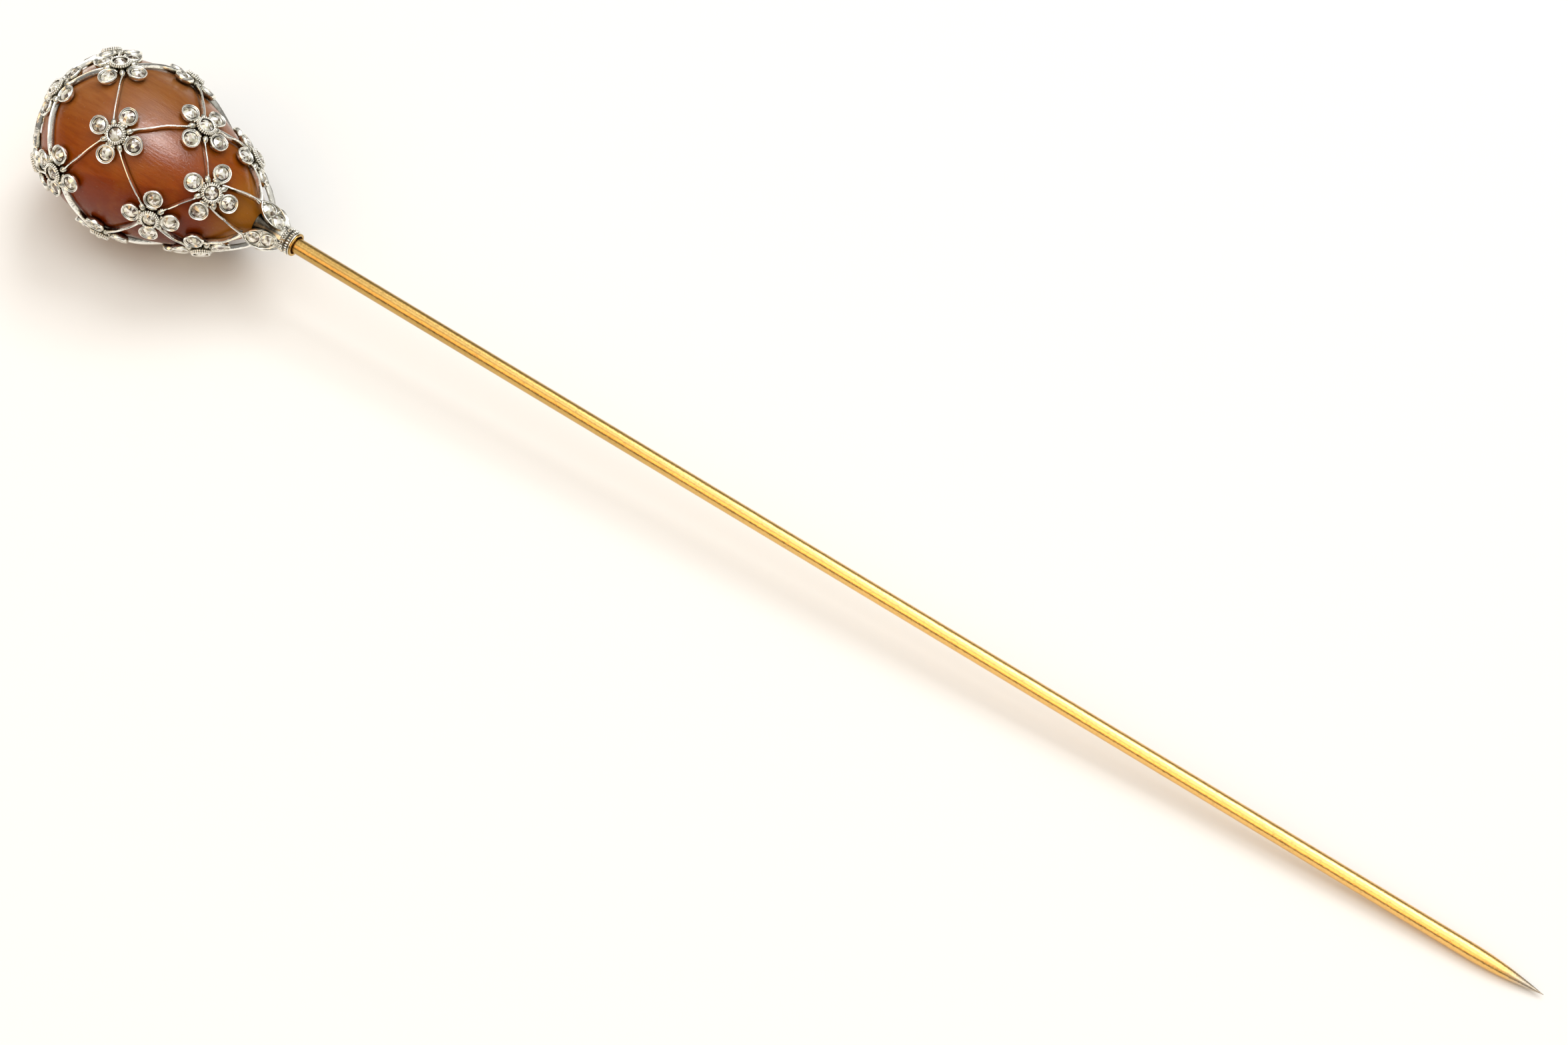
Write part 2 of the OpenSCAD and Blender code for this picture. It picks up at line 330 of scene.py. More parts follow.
def mix(tree, factor, a, b):
    """Goes from colour a to colour b as factor rises."""
    node = tree.nodes.new("ShaderNodeMix")
    node.data_type = "RGBA"
    tree.links.new(factor, next(i for i in node.inputs if i.name == "Factor"))
    for name, value in (("A", a), ("B", b)):
        socket = next(i for i in node.inputs if i.name == name and i.type == "RGBA")
        if isinstance(value, tuple):
            socket.default_value = (*value, 1)
        else:
            tree.links.new(value, socket)
    return next(o for o in node.outputs if o.type == "RGBA")


def span(tree, value, low, high, out_low=0.0, out_high=1.0):
    """Maps a value from one range to another, clamped and smooth."""
    node = tree.nodes.new("ShaderNodeMapRange")
    node.interpolation_type = "SMOOTHSTEP"
    ends = {"From Min": low, "From Max": high, "To Min": out_low, "To Max": out_high}
    for name, number in ends.items():
        node.inputs[name].default_value = number
    tree.links.new(value, node.inputs["Value"])
    return node.outputs["Result"]


def bump(tree, shader, height, distance, strength):
    """Relief on a surface. distance is in metres."""
    node = tree.nodes.new("ShaderNodeBump")
    node.inputs["Distance"].default_value = distance
    node.inputs["Strength"].default_value = strength
    tree.links.new(height, node.inputs["Height"])
    tree.links.new(node.outputs["Normal"], shader.inputs["Normal"])


def along(tree, where, direction):
    """Distance of a point along a direction."""
    node = tree.nodes.new("ShaderNodeVectorMath")
    node.operation = "DOT_PRODUCT"
    node.inputs[1].default_value = direction
    tree.links.new(where, node.inputs[0])
    return node.outputs["Value"]


def tone_of(tree):
    """The tone of a point, such as 0 in a recess of the metal, dark with tarnish and painted shade, and 1
    on an edge that is rubbed bright. On a diamond it is the facet's painted reflection.
    """
    node = tree.nodes.new("ShaderNodeAttribute")
    node.attribute_name = "tone"
    return node.outputs["Fac"]


def agate_material():
    """Carnelian agate: flat bands, a red-brown lower part that is partly its own colour and partly painted
    shade, an ochre narrow end and a waxy polish.
    """
    layer_and_shade_axis = Vector((-0.29, 0.905, 0.31)).normalized()
    ochre_start, ochre_full = -9.0, -5.5
    material, tree, shader, where = new_material("agate")
    layer_and_shade_height = along(tree, where, layer_and_shade_axis)
    drift = noise_node(tree, where, 0.12, detail=2)
    layer_and_shade_height = math_node(tree, "ADD", layer_and_shade_height, math_node(tree, "MULTIPLY", drift, 1.2))
    level = span(tree, layer_and_shade_height, -6.0, 14.0)
    # Level 0 is the bottom of the stone as it lies. The ramp darkens towards it, partly the stone's own
    # red-brown and partly painted shade; the step near the middle is a band edge.
    body = ramp(tree, level, [
        (0.0, (0.08, 0.007, 0.0003)),
        (0.30, (0.17, 0.021, 0.0004)),
        (0.515, (0.235, 0.036, 0.0006)),
        (0.535, (0.30, 0.056, 0.001)),
        (0.72, (0.29, 0.060, 0.002)),
        (0.86, (0.28, 0.072, 0.005)),
        (1.0, (0.30, 0.115, 0.03)),
    ])
    fine = noise_node(tree, where, 1.0, detail=5, roughness=0.6, stretch=(0.35, 2.4, 0.9))
    body = mix(tree, span(tree, fine, 0.35, 0.7, 0.0, 0.35), body, (0.15, 0.024, 0.001))
    cloud = noise_node(tree, where, 0.28, detail=3)
    body = mix(tree, span(tree, cloud, 0.45, 0.75, 0.0, 0.4), body, (0.33, 0.095, 0.006))
    end = along(tree, where, (1, 0, 0))
    body = mix(tree, span(tree, end, ochre_start, ochre_full, 0.0, 0.8), body, (0.36, 0.14, 0.012))
    specks = noise_node(tree, where, 7.0, detail=1)
    body = mix(tree, span(tree, specks, 0.74, 0.8, 0.0, 0.7), body, (0.36, 0.2, 0.12))
    tree.links.new(body, shader.inputs["Base Color"])
    wear = noise_node(tree, where, 0.9, detail=6)
    tree.links.new(span(tree, wear, 0.3, 0.7, 0.17, 0.25), shader.inputs["Roughness"])
    lines = noise_node(tree, where, 2.2, detail=4, roughness=0.7, stretch=(0.25, 2.2, 1.2))
    pits = noise_node(tree, where, 5.0, detail=3)
    height = math_node(tree, "ADD", lines, math_node(tree, "MULTIPLY", pits, 0.5))
    bump(tree, shader, height, distance=0.00006, strength=0.5)
    shader.inputs["IOR"].default_value = 1.36
    shader.inputs["Specular IOR Level"].default_value = 0.42
    shader.inputs["Subsurface Weight"].default_value = 0.2
    shader.inputs["Subsurface Radius"].default_value = (1.0, 0.32, 0.12)
    shader.inputs["Subsurface Scale"].default_value = 0.0015
    return material


def gold_material():
    """Old gold wire: browner near the head, which is painted dark reflection, brighter towards the point,
    and bare grey at the tip.
    """
    brown_len = 90
    grey_start, grey_full = 4.5, 1.5
    material, tree, shader, where = new_material("gold")
    s = along(tree, where, (1, 0, 0))
    patches = noise_node(tree, where, 0.5, detail=5, stretch=(0.25, 1, 1))
    # Painted dark reflection: the colour is darkest at the head and brightens over brown_len towards the
    # point; patches vary it at random.
    brightness = span(tree, s, 0, brown_len, 0.0, 0.7)
    reflection_and_patches = math_node(tree, "ADD", brightness, math_node(tree, "MULTIPLY", patches, 0.4))
    colour = ramp(tree, reflection_and_patches, [
        (0.0, (0.42, 0.255, 0.075)),
        (0.35, (0.60, 0.385, 0.12)),
        (0.7, (0.80, 0.51, 0.17)),
        (1.0, (0.90, 0.55, 0.18)),
    ])
    tip = STRAIGHT + POINT_LEN
    bare = span(tree, s, tip - grey_start, tip - grey_full, 0.0, 0.85)
    colour = mix(tree, bare, colour, (0.52, 0.48, 0.42))
    grain = noise_node(tree, where, 6.0, detail=5, roughness=0.65, stretch=(0.5, 1, 1))
    colour = mix(tree, span(tree, grain, 0.52, 0.75, 0.0, 0.4), colour, (0.30, 0.16, 0.05))
    tree.links.new(colour, shader.inputs["Base Color"])
    tree.links.new(span(tree, grain, 0.3, 0.7, 0.15, 0.27), shader.inputs["Roughness"])
    shader.inputs["Metallic"].default_value = 1.0
    bump(tree, shader, grain, distance=0.00003, strength=0.5)
    return material


def silver_material():
    """Old silver: bright where it is rubbed, and dark where the tone is low, partly tarnish and partly
    painted shade.
    """
    material, tree, shader, where = new_material("silver")
    tarnish = noise_node(tree, where, 1.6, detail=5, roughness=0.6)
    shade = math_node(tree, "ADD", tone_of(tree), math_node(tree, "MULTIPLY", tarnish, 0.5))
    # Low tones give near-black metal: tarnish and painted shade in recesses and where parts meet.
    colour = ramp(tree, math_node(tree, "SUBTRACT", shade, 0.25), [
        (0.0, (0.04, 0.034, 0.026)),
        (0.3, (0.21, 0.195, 0.155)),
        (0.6, (0.66, 0.64, 0.56)),
        (1.0, (0.96, 0.95, 0.89)),
    ])
    tree.links.new(colour, shader.inputs["Base Color"])
    tree.links.new(span(tree, tarnish, 0.3, 0.7, 0.08, 0.22), shader.inputs["Roughness"])
    shader.inputs["Metallic"].default_value = 1.0
    hammer = noise_node(tree, where, 3.0, detail=3)
    bump(tree, shader, hammer, distance=0.00006, strength=0.4)
    return material


def diamond_material():
    """Rose-cut diamonds on foil: each facet has its own tone, from yellow-white to a few brown ones, as
    painted reflection, with painted glints and painted dark patches.
    """
    material, tree, shader, where = new_material("diamond")
    # The facet tone is painted reflection: near white for a facet that looks bright, dark brown for one
    # that looks dark.
    colour = ramp(tree, tone_of(tree), [
        (0.0, (0.06, 0.022, 0.01)),
        (0.25, (0.18, 0.11, 0.06)),
        (0.5, (0.42, 0.39, 0.26)),
        (0.7, (0.82, 0.80, 0.63)),
        (1.0, (1.0, 1.0, 0.95)),
    ])
    # Painted glints: where this noise is high, a facet turns near white.
    depth = noise_node(tree, where, 2.6, detail=2)
    painted_glint = span(tree, depth, 0.52, 0.64, 0.0, 0.75)
    colour = mix(tree, painted_glint, colour, (1.0, 1.0, 0.97))
    # Painted dark reflection: where this noise is high, a facet turns dark brown.
    painted_dark_patch = noise_node(tree, where, 1.9, detail=2)
    colour = mix(tree, span(tree, painted_dark_patch, 0.56, 0.68, 0.0, 0.8), colour, (0.16, 0.10, 0.05))
    tree.links.new(colour, shader.inputs["Base Color"])
    haze = noise_node(tree, where, 2.0, detail=2)
    tree.links.new(span(tree, haze, 0.3, 0.7, 0.03, 0.10), shader.inputs["Roughness"])
    shader.inputs["Metallic"].default_value = 0.35
    shader.inputs["IOR"].default_value = 2.42
    shader.inputs["Coat Weight"].default_value = 0.6
    shader.inputs["Coat Roughness"].default_value = 0.02
    return material


def paper_material():
    """The pale surface that the pin lies on."""
    material, tree, shader, where = new_material("paper")
    fibre = noise_node(tree, where, 0.6, detail=6)
    colour = ramp(tree, fibre, [(0.3, (0.90, 0.90, 0.88)), (0.7, (0.93, 0.93, 0.915))])
    tree.links.new(colour, shader.inputs["Base Color"])
    shader.inputs["Roughness"].default_value = 0.9
    shader.inputs["Specular IOR Level"].default_value = 0.0
    return material


AGATE = agate_material()
GOLD = gold_material()
SILVER = silver_material()
DIAMOND = diamond_material()


# ---------------------------------------------------------------- the stone, the stem and the neck

def turned_along_pin(profile, segments=96):
    """Turns (radius, distance from the lip, tone) points about the pin's axis."""
    points, faces, tones = lathe(profile, segments)
    place = Matrix.Rotation(math.radians(-90), 4, "Y")
    return [place @ Vector(p) for p in points], faces, tones


def stone_piece():
    """The stone: a long curved flank that runs into half a ball."""
    rings = 150
    profile = [(0, STONE_START, 0)]
    for k in range(rings):
        s = STONE_START + (DOME_S - STONE_START) * k / rings
        profile.append((stone_r(s), s, 0))
    for k in range(rings):
        a = math.pi / 2 * k / rings
        profile.append((DOME_R * math.cos(a), DOME_S + DOME_R * math.sin(a), 0))
    profile.append((0, DOME_S + DOME_R, 0))
    shape = Shape()
    shape.add(turned_along_pin(profile, 256))
    make_piece("agate_drop", shape, AGATE, "carnelian_drop")


def stem_piece():
    """The stem, from its root in the ferrule to the end of its ogive point."""
    ogive_r = (POINT_LEN ** 2 + STEM_R ** 2) / (2 * STEM_R)
    rings = 160
    profile = [(0, ROOT_END, 0), (ROOT_R, ROOT_END, 0)]
    for k in range(rings + 1):
        profile.append((STEM_R, -ROOT_START - STRAIGHT * k / rings, 0))
    taper = -ROOT_START - STRAIGHT
    blunt = 0.03
    point_rings = 40
    for k in range(1, point_rings):
        x = POINT_LEN * k / point_rings
        profile.append((max(STEM_R - ogive_r + math.sqrt(ogive_r ** 2 - x ** 2), blunt), taper - x, 0))
    profile += [(blunt, taper - POINT_LEN + 0.02, 0), (0, taper - POINT_LEN, 0)]
    shape = Shape()
    shape.add(turned_along_pin(profile[::-1], 64))
    make_piece("gold_stem", shape, GOLD, "pin_stem", crease=60)


def ferrule_piece():
    """The gold lip round the stem, and the sleeve behind it that takes the stem's root."""
    edge = 0.05  # rounding of the lip's edges
    sleeve_end = 3.4
    mouth_end = 1.2
    root_bore = ROOT_R + 0.03
    root_bore_start = 3.25
    profile = [
        (SLEEVE_R, sleeve_end, 0.5), (SLEEVE_R, LIP_T + edge, 0.3), (LIP_R - edge, LIP_T, 0.5),
        (LIP_R, LIP_T - edge, 1), (LIP_R, edge, 1), (LIP_R - edge * 0.3, edge * 0.3, 1),
        (LIP_R - edge, 0, 1), (MOUTH_R + edge, 0, 1), (MOUTH_R + edge * 0.3, edge * 0.3, 1),
        (MOUTH_R, edge, 0.8), (MOUTH_R, mouth_end, 0), (STEM_R + 0.02, mouth_end, 0),
        (root_bore, root_bore_start, 0), (root_bore, sleeve_end, 0), (SLEEVE_R, sleeve_end, 0.5),
    ]
    shape = Shape()
    shape.add(turned_along_pin(profile[::-1], 96))
    make_piece("gold_ferrule", shape, GOLD, "ferrule")


def collar_piece():
    """A milled collar: a slotted band by the lip, and pierced grains under the leaves."""
    shape = Shape()
    bore = SLEEVE_R + 0.02
    core = COLLAR_R - 0.13
    ridges, eyes, grains = 28, 16, 34
    # Tones are low in the grooves, as tarnish and painted shade, and high on the rubbed ridges.
    profile = [
        (bore, LIP_T, 0.2), (core - 0.06, LIP_T, 0.3), (core + 0.03, LIP_T + 0.04, 0.9),
        (core + 0.04, LIP_T + 0.09, 1.0), (core + 0.01, LIP_T + 0.13, 0.6), (core - 0.05, 0.32, 0.0),
        (core - 0.02, 0.4, 0.1), (core - 0.02, 0.72, 0.1), (core - 0.06, 0.76, 0.0),
        (core - 0.05, 0.8, 0.0), (core, 0.84, 0.2), (core, COLLAR_END, 0.3), (bore, COLLAR_END, 0.2),
        (bore, LIP_T, 0.2),
    ]
    shape.add(turned_along_pin(profile, 96))
    pin = Matrix.Rotation(math.radians(-90), 4, "Y")
    ring_of(shape, bead((0.12, 0.085, 0.2), 0.95), pin, ridges, radius=core, height=0.55)
    # The eye's tone is low inside it, as tarnish and painted shade.
    eye = lathe([(0.19, -0.05, 0.3), (0.18, 0.04, 0.8), (0.14, 0.1, 1), (0.1, 0.1, 1), (0.07, 0.02, 0.1),
                 (0.06, -0.04, 0), (0, -0.05, 0)], 14)
    facing = Matrix.Rotation(math.radians(90), 4, "Y")
    for k in range(eyes):
        shape.add(eye, pin @ Matrix.Rotation(2 * math.pi * k / eyes, 4, "Z")
                  @ Matrix.Translation((core, 0, 1.05)) @ facing)
    ring_of(shape, bead((0.09, 0.08, 0.07), 1.0), pin, grains, radius=core + 0.02, height=1.27)
    shape.roughen(size=0.5, reach=0.02)
    make_piece("silver_collar", shape, SILVER, "collar")


def cup_piece():
    """The cup behind the leaves, which carries the stone's narrow end. Its low tone makes it near black,
    as painted shade in the gap between the leaves.
    """
    bore = SLEEVE_R + 0.02
    start = COLLAR_END + 0.03
    shoulder = 3.44
    profile = [
        (bore, start, 0), (1.25, start, 0.6), (1.25, 1.9, 0.4), (1.25, 2.3, 0.05), (1.24, 3.6, 0),
        (1.3, 4.3, 0), (1.38, 4.5, 0.05), (1.36, 4.54, 0.1), (1.27, 4.52, 0), (0.9, 4.22, 0),
        (0, 4.18, 0), (0, shoulder, 0), (bore, shoulder, 0), (bore, start, 0),
    ]
    shape = Shape()
    shape.add(turned_along_pin(profile, 96))
    make_piece("silver_cup", shape, SILVER, "stone_cup")


# ---------------------------------------------------------------- stones and settings

# Facets differ in tone, which paints their reflection: the six at the top are brighter than the others,
# and each is off at random.
STAR_LIFT = 0.18
LOWER_LIFT = -0.2
FACET_SPREAD = 0.36
GIRDLE_H = 0.1


def rose_cut(rng, radius, base, rise, brightness=0.62):
    """A rose-cut stone: six star facets, and eighteen below them down to a twelve-sided girdle."""
    spin = rng.uniform(0, 60)
    mood = rng.gauss(brightness, 0.12)
    star_r = radius * rng.uniform(0.42, 0.62)
    rim = base + GIRDLE_H
    star_z = rim + rise * rng.uniform(0.6, 0.78)
    apex = (rng.uniform(-0.16, 0.16) * radius, rng.uniform(-0.16, 0.16) * radius, rim + rise)

    def ring(count, r, z, jitter=0.0):
        made = []
        for k in range(count):
            turn = math.radians(spin + 360 * k / count)
            reach = r * (1 + rng.uniform(-jitter, jitter))
            made.append((reach * math.cos(turn), reach * math.sin(turn), z))
        return made

    star = ring(6, star_r, star_z, jitter=0.22)
    girdle = ring(12, radius, rim)
    under = ring(12, radius, base)
    facets = []
    for k in range(6):
        left, right = star[k], star[(k + 1) % 6]
        facets.append([apex, left, right])
        facets.append([left, girdle[2 * k + 1], right])
        facets.append([left, girdle[2 * k], girdle[2 * k + 1]])
        facets.append([right, girdle[2 * k + 1], girdle[(2 * k + 2) % 12]])
    for k in range(12):
        j = (k + 1) % 12
        facets.append([girdle[k], under[k], under[j], girdle[j]])
    facets.append(under[::-1])
    points, faces, tones = [], [], []
    for facet in facets:
        faces.append(list(range(len(points), len(points) + len(facet))))
        points += facet
        # Each facet's tone is its painted reflection, lifted on the star facets and lowered below them.
        lift = STAR_LIFT if facet[0] is apex else LOWER_LIFT
        tone = min(1.0, max(0.0, rng.gauss(mood + lift, FACET_SPREAD)))
        tones += [tone] * len(facet)
    return points, faces, tones


def irregular(rng, depth):
    """Outline of a hand-made setting: never wider than 1, and up to depth narrower."""
    waves = [(k, rng.uniform(0, 2 * math.pi), rng.uniform(0.3, 1) / k) for k in (1, 2, 3)]
    full = sum(w[2] for w in waves)

    def outline(turn):
        swing = sum(size * math.cos(k * (turn - start)) for k, start, size in waves) / full
        return 1 - depth * (0.5 - 0.5 * swing)
    return outline


# A petal from its foot, up its bulging wall and over its rim to the stone's seat: (radius, height, tone).
# The tone is low at the foot and in the seat, as tarnish and painted shade, and high on the rubbed rim.
PETAL_PROFILE = [
    (0, 0.03, 0), (0.62, 0.03, 0), (0.8, 0.1, 0.05), (0.93, 0.22, 0.2), (1.01, 0.36, 0.45),
    (1.045, 0.5, 0.7), (1.05, 0.62, 0.85), (1.04, 0.71, 1), (1.01, 0.77, 1), (0.96, 0.8, 1),
    (0.91, 0.78, 1), (0.87, 0.72, 0.5), (0.85, 0.7, 0.3), (0.82, 0.71, 0.8), (0.79, 0.7, 1),
    (0.765, 0.66, 0.5), (0.75, 0.58, 0), (0.74, 0.5, 0), (0, 0.5, 0),
]

# The raised setting in a flower's middle, in the same order.
# Its tone is low at the foot and under the stone, as tarnish and painted shade, and high on the rubbed
# rim.
HEART_PROFILE = [
    (0, 0.03, 0), (0.66, 0.03, 0), (0.78, 0.12, 0.1), (0.84, 0.4, 0.2), (0.89, 0.7, 0.3),
    (0.96, 0.86, 0.4), (0.98, 0.94, 0.4), (0.94, 1.02, 0.3), (0.88, 1.06, 0.2), (0.82, 1.1, 0.6),
    (0.77, 1.15, 1), (0.73, 1.13, 0.9), (0.71, 1.03, 0.1), (0.7, 0.9, 0), (0, 0.88, 0),
]

SETTING_SEGMENTS = 40
TOP_GRAINS = 24
LOW_GRAINS = 26
PETAL_UNEVEN = 0.13


def flower_part(shape, rng, place, s):
    """A flower's metal: four bowl-shaped petals round a raised setting with a grained rim."""
    shape.add(lathe(HEART_PROFILE, SETTING_SEGMENTS), place)
    ring_of(shape, bead((0.11, 0.09, 0.11), 1.0), place, TOP_GRAINS, radius=0.87, height=1.07)
    low_ring = place @ Matrix.Rotation(math.radians(7), 4, "Z")
    ring_of(shape, bead((0.1, 0.095, 0.13), 0.85), low_ring, LOW_GRAINS, radius=0.97, height=0.9)
    for petal in petal_places(s):
        outline = irregular(rng, PETAL_UNEVEN)
        shape.add(lathe(PETAL_PROFILE, SETTING_SEGMENTS, outline), place @ petal)
        neck = place @ petal @ Matrix.Translation((-0.95, 0, 0.42))
        shape.add(bead((0.3, 0.52, 0.33), 0.55, 12, 7), neck)
        for side in (-1, 1):
            grain = neck @ Matrix.Translation((0.02, 0.42 * side, 0.16))
            shape.add(bead((0.14, 0.12, 0.12), 0.8), grain)
    solder = bead((0.5, 0.34, 0.42), 0.6, 12, 7)
    corners = place @ Matrix.Rotation(math.radians(180 / PETAL_COUNT), 4, "Z")
    ring_of(shape, solder, corners, PETAL_COUNT, radius=1.26, height=0.34)


def flower_piece(name, rng, place, s, node):
    """A flower's metal as one piece, a little uneven as if made by hand."""
    shape = Shape()
    flower_part(shape, rng, place, s)
    shape.roughen(size=0.9, reach=0.03)
    make_piece(name, shape, SILVER, node, crease=50)


def flower_gems(shape, rng, place, s):
    """A flower's five stones. Those in the petals lean a little, each its own way."""
    lean_most = 0.08
    shape.add(rose_cut(rng, radius=0.66, base=0.91, rise=0.29), place)
    for petal in petal_places(s):
        size = rng.uniform(0.66, 0.7)
        lean = (Matrix.Rotation(rng.uniform(-lean_most, lean_most), 4, "X")
                @ Matrix.Rotation(rng.uniform(-lean_most, lean_most), 4, "Y"))
        shape.add(rose_cut(rng, size, base=0.54, rise=0.28), place @ petal @ lean)


# ---------------------------------------------------------------- wires

def unit_normal(anchor, turn):
    """The stone's outward normal at an anchor and an angle about the pin."""
    tilt, turn = math.radians(anchor[2]), math.radians(turn)
    return Vector((-math.sin(tilt), math.cos(tilt) * math.sin(turn), math.cos(tilt) * math.cos(turn)))


def place_of(anchor, turn):
    """The point at an anchor and an angle about the pin."""
    turn = math.radians(turn)
    return Vector((-anchor[0], anchor[1] * math.sin(turn), anchor[1] * math.cos(turn)))


# A wire's section: (across, height over the stone, tone).
# The low tone at the foot, where the wire meets the stone, is tarnish and painted shade.
BLADE = [
    (-0.15, 0.12, 0.2), (-0.14, 0.3, 0.8), (-0.1, 0.5, 1.0), (-0.07, 0.64, 1.0), (-0.03, 0.69, 1.0),
    (0.03, 0.69, 1.0), (0.07, 0.64, 1.0), (0.1, 0.5, 1.0), (0.14, 0.3, 0.8), (0.15, 0.12, 0.2),
]

# How a wire is drawn: it flares over a fifth of its length at each end, and it is a little uneven.
WIRE_STEPS = 28
FLARE_RATE = 5
FLARE_WIDER = 0.9
FLARE_LOWER = 0.05
SWAY_REACH = 0.035
WIDTH_WAVE = 0.08
RIDGE_WAVE = 0.02
RIDGE_FROM = 0.4


def blade(shape, rng, centre, ahead, up, bend, start, end):
    """A knife-edge wire on an arc about centre. It widens and sinks a little at each end."""
    side = up.cross(ahead)
    sway = [rng.uniform(-1, 1) for _ in range(4)]
    first = len(shape.points)
    for k in range(WIRE_STEPS + 1):
        u = k / WIRE_STEPS
        angle = start + (end - start) * u
        radial = ahead * math.sin(angle) + up * math.cos(angle)
        near = max(0, 1 - u * FLARE_RATE) ** 2 + max(0, 1 - (1 - u) * FLARE_RATE) ** 2
        waves = sum(w * math.sin((j + 1) * math.pi * u) for j, w in enumerate(sway))
        swing = SWAY_REACH * math.sin(math.pi * u) * waves
        thick = 1 + FLARE_WIDER * near + WIDTH_WAVE * math.sin(9 * u + sway[0] * 6)
        ridge_wave = RIDGE_WAVE * math.sin(7 * u + sway[1] * 5)
        for x, z, tone in BLADE:
            height = z - FLARE_LOWER * near + ridge_wave * (z > RIDGE_FROM)
            shape.points.append(centre + radial * (bend + height) + side * (x * thick + swing))
            shape.tones.append(tone)
    wide = len(BLADE)
    for k in range(WIRE_STEPS):
        for j in range(wide):
            a, b = first + k * wide + j, first + k * wide + (j + 1) % wide
            shape.faces.append([a, b, b + wide, a + wide])
    shape.faces.append([first + j for j in range(wide)][::-1])
    shape.faces.append([first + WIRE_STEPS * wide + j for j in range(wide)])


def wire(shape, rng, end_a, end_b, sunk):
    """A wire between two ends, on an arc that follows the stone. It runs on by sunk past each end."""
    start, stop = place_of(*end_a), place_of(*end_b)
    normals = unit_normal(*end_a), unit_normal(*end_b)
    ahead = (stop - start).normalized()
    up = normals[0] + normals[1]
    up = (up - ahead * up.dot(ahead)).normalized()
    half = normals[0].angle(normals[1]) / 2
    bend = (stop - start).length / 2 / math.sin(half)
    centre = (start + stop) / 2 - up * bend * math.cos(half)
    blade(shape, rng, centre, ahead, up, bend, -half - sunk[0] / bend, half + sunk[1] / bend)


# How far a wire runs on into a flower.
SUNK = 0.5


def tier(row):
    """All wires from one row of flowers to the next."""
    rng = random.Random(100 + row)
    shape = Shape()
    for k in range(ROW_COUNT):
        for across in (-1, 1):
            other = k + (across + 1) // 2 - (row + 1) % 2
            ends = corner(row, k, 1, across), corner(row + 1, other, -1, -across)
            wire(shape, rng, *ends, (SUNK, SUNK))
    return shape


def leaf_tier():
    """The wires from the first row of flowers down to the tips of the leaves."""
    rng = random.Random(99)
    shape = Shape()
    for k in range(ROW_COUNT):
        for across in (-1, 1):
            tip = LEAF_TIP, row_turn(1, k + (across - 1) // 2) - 2 * across
            wire(shape, rng, corner(0, k, -1, across), tip, (SUNK, 0.05))
    return shape


def crown_tier():
    """A ring of wires round the crown, and four short ones from the crown flower to the ring."""
    rng = random.Random(110)
    shape = Shape()
    crown_end = math.degrees(CORNER * math.sqrt(2) / DOME_R)
    for k in range(ROW_COUNT):
        ends = corner(LAST_ROW, k, 1, 1), corner(LAST_ROW, k + 1, 1, -1)
        wire(shape, rng, *ends, (SUNK, SUNK))
        middle = (unit_normal(*ends[0]) + unit_normal(*ends[1])).normalized()
        off_crown = math.degrees(math.acos(-middle.x))
        foot = dome_anchor(off_crown), math.degrees(math.atan2(middle.y, middle.z))
        wire(shape, rng, (dome_anchor(crown_end), (k + 0.5) * STEP_ANGLE), foot, (SUNK, 0))
    return shape


# ---------------------------------------------------------------- leaves

LEAF_GEM_R = 0.7
LEAF_GEM_X = 0.75

# Grains that hold the stones, as (x, y, size) on the leaf's face.
LEAF_GRAINS = [(x * side, y, size) for side in (-1, 1) for x, y, size in (
    (0.0, 0.62 * side, 0.14), (0.02, 0.85 * side, 0.1),
    (1.53, 0.0, 0.12), (1.4, 0.42, 0.08), (1.4, -0.42, 0.08))]


def leaf_ring(scale, height, steps=32):
    """Points round the pointed outline of a leaf."""
    arc_r = (LEAF_LEN ** 2 + LEAF_W ** 2) / (4 * LEAF_W)
    half = math.asin(LEAF_LEN / 2 / arc_r)
    points = []
    for side in (1, -1):
        for k in range(steps):
            a = side * (-half + 2 * half * k / steps)
            x = arc_r * math.sin(a)
            y = side * (arc_r * math.cos(a) - arc_r + LEAF_W / 2)
            points.append((x * scale, y * scale, height))
    return points[::-1]


def leaf_part():
    """A pointed setting with sloping sides, a thin edge and a sunken face.

    A level is (scale of the outline, height, tone).
    """
    # The tone is low at the bottom of the sides, as tarnish and painted shade, and high on the rubbed
    # edge.
    levels = [
        (0.62, -LEAF_DEPTH, 0), (0.86, -0.55, 0.3), (0.96, -0.25, 0.6), (0.995, -0.1, 0.9),
        (0.99, -0.02, 1), (0.96, 0.0, 1), (0.93, -0.03, 1), (0.915, -0.1, 0.7), (0.9, -0.16, 0.4),
        (0.4, -0.16, 0.6),
    ]
    points, faces, tones = [], [], []
    for scale, height, tone in levels:
        ring = leaf_ring(scale, height)
        points += ring
        tones += [tone] * len(ring)
    wide = len(points) // len(levels)
    for level in range(len(levels) - 1):
        for j in range(wide):
            a, b = level * wide + j, level * wide + (j + 1) % wide
            faces.append([a, b, b + wide, a + wide])
    faces.append(list(range(wide))[::-1])
    faces.append([(len(levels) - 1) * wide + j for j in range(wide)])
    return points, faces, tones


def bezel(radius):
    """The thin raised ring round a leaf's stone."""
    # The tone is low inside the ring, as tarnish and painted shade.
    return lathe([
        (radius + 0.1, -0.17, 0.3), (radius + 0.09, -0.05, 0.9), (radius + 0.06, -0.01, 1),
        (radius + 0.02, -0.02, 0.9), (radius, -0.08, 0.1), (radius, -0.22, 0), (0, -0.22, 0),
    ], 32)


def leaf_place(k):
    """Matrix of leaf k, with its face up."""
    return standing(LEAF_ANCHOR, row_turn(1, k))


